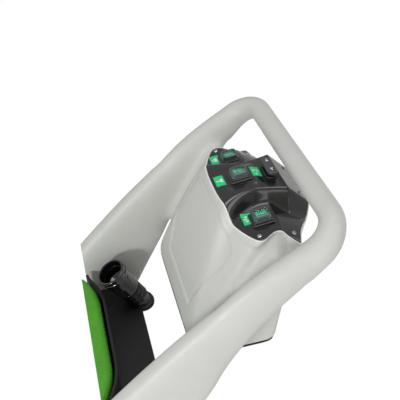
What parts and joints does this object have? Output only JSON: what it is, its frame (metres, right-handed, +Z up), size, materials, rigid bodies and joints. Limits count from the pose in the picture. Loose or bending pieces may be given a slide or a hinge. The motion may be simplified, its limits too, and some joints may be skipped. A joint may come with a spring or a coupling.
{
  "type": "floor machine handle head",
  "caption": "Push handle and control console head of a walk-behind battery floor machine, with switch panel, deck, tank cover edge and hose end.",
  "frame": {"origin": "middle of the base face, on the underside of the deck", "axes": "+X to the operator's right, +Y away from the operator towards the machine's front, +Z up"},
  "size_m": [0.439, 0.4045, 0.449],
  "materials": {
    "body_grey": "rotomoulded polyethylene, light warm grey, fine satin texture",
    "panel_black": "vacuum formed ABS, high gloss black",
    "cap_clear": "clear flexible splash cap",
    "rocker_green": "translucent green rocker",
    "paddle_black": "moulded nylon, dark grey",
    "nylon_black": "moulded nylon, black",
    "steel": "bright zinc plated steel",
    "brass": "turned brass",
    "tank_green": "rotomoulded polyethylene, bright green",
    "rubber_black": "black flexible PVC",
    "board_green": "solder-masked circuit board",
    "sleeve_black": "black braided sleeve"
  },
  "bodies": {
    "frame": {"board_post_l1": "nylon_black", "board_post_l2": "nylon_black", "board_post_r1": "nylon_black", "board_post_r2": "nylon_black", "brass_insert_l1": "brass", "brass_insert_l2": "brass", "brass_insert_l3": "brass", "brass_insert_r1": "brass", "brass_insert_r2": "brass", "brass_insert_r3": "brass", "control_panel": "panel_black", "cover_screw_l1": "steel", "cover_screw_l2": "steel", "cover_screw_r1": "steel", "cover_screw_r2": "steel", "deck": "nylon_black", "front_clear_cap": "cap_clear", "front_switch_housing": "nylon_black", "handle_body": "body_grey", "hose_cuff": "rubber_black", "hose_spigot": "rubber_black", "left_clear_cap": "cap_clear", "left_switch_housing": "nylon_black", "panel_screw_l1": "steel", "panel_screw_l2": "steel", "panel_screw_l3": "steel", "panel_screw_r1": "steel", "panel_screw_r2": "steel", "panel_screw_r3": "steel", "rear_switch_housing": "nylon_black", "relay_board": "board_green", "ribbed_hose": "rubber_black", "right_clear_cap": "cap_clear", "right_switch_housing": "nylon_black", "service_cover": "nylon_black", "tank_cover": "tank_green", "wire_connector": "nylon_black", "wires_front": "sleeve_black", "wires_left": "sleeve_black", "wires_rear": "sleeve_black", "wires_right": "sleeve_black"},
    "front_rocker": {"front_rocker": "rocker_green"},
    "left_rocker": {"left_rocker": "rocker_green"},
    "right_rocker": {"right_rocker": "rocker_green"},
    "direction_paddle": {"direction_paddle": "paddle_black"}
  },
  "joints": [
    {"name": "front_rocker_hinge", "type": "hinge", "parent": "frame", "child": "front_rocker", "pos_m": [0, -0.22133, 0.40775], "axis": [1, 0, 0], "range_deg": [-14, 0]},
    {"name": "left_rocker_hinge", "type": "hinge", "parent": "frame", "child": "left_rocker", "pos_m": [-0.084, -0.23233, 0.38225], "axis": [1, 0, 0], "range_deg": [-14, 0]},
    {"name": "right_rocker_hinge", "type": "hinge", "parent": "frame", "child": "right_rocker", "pos_m": [0.084, -0.23233, 0.38225], "axis": [1, 0, 0], "range_deg": [-14, 0]},
    {"name": "direction_paddle_hinge", "type": "hinge", "parent": "frame", "child": "direction_paddle", "pos_m": [0, -0.274, 0.407], "axis": [0, 1, 0], "range_deg": [-9, 9], "stiffness_Nm_per_rad": 0.17}
  ]
}
